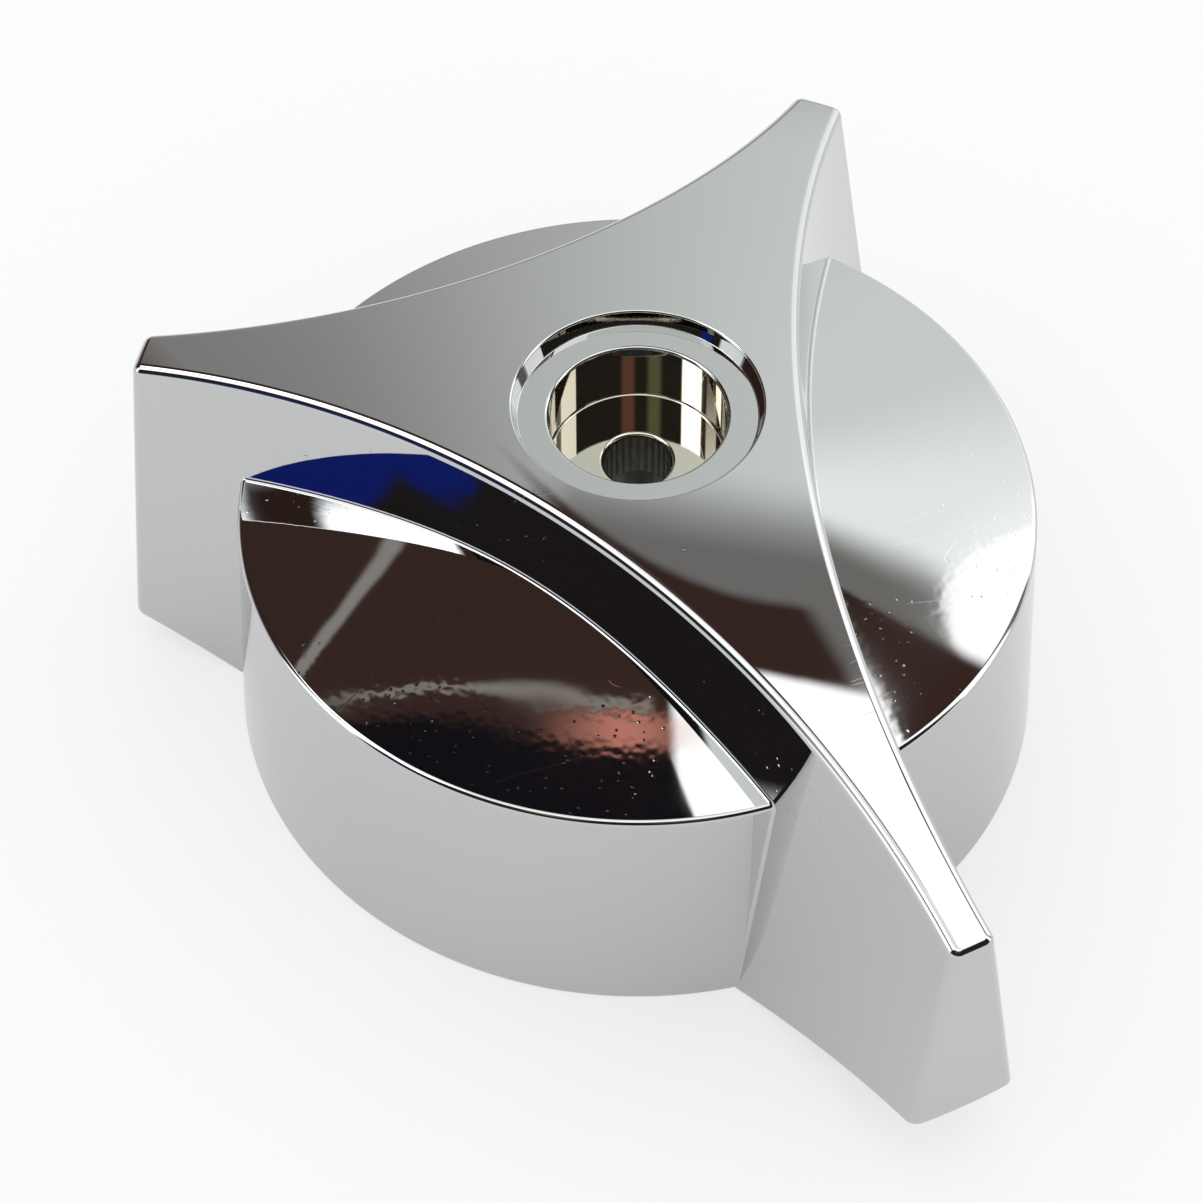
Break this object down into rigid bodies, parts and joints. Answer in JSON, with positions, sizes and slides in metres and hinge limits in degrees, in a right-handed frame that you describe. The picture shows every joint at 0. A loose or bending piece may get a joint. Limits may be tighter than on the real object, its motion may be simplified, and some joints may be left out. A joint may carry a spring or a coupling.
{
  "type": "tap handle",
  "caption": "Chrome-plated replacement tap handle: a round hollow skirt with a three-armed star across it, recessed for an index button and bored for a screw.",
  "frame": {"origin": "centre of the stem socket's mouth, on the screw's axis", "axes": "+Z along the screw's axis, out through the crown; -Y towards the long arm's end; +X completes the frame"},
  "size_m": [0.065, 0.0799, 0.0311],
  "materials": {
    "chrome_plate": "mirror"
  },
  "bodies": {
    "root": {"tap_handle": "chrome_plate"}
  },
  "joints": []
}
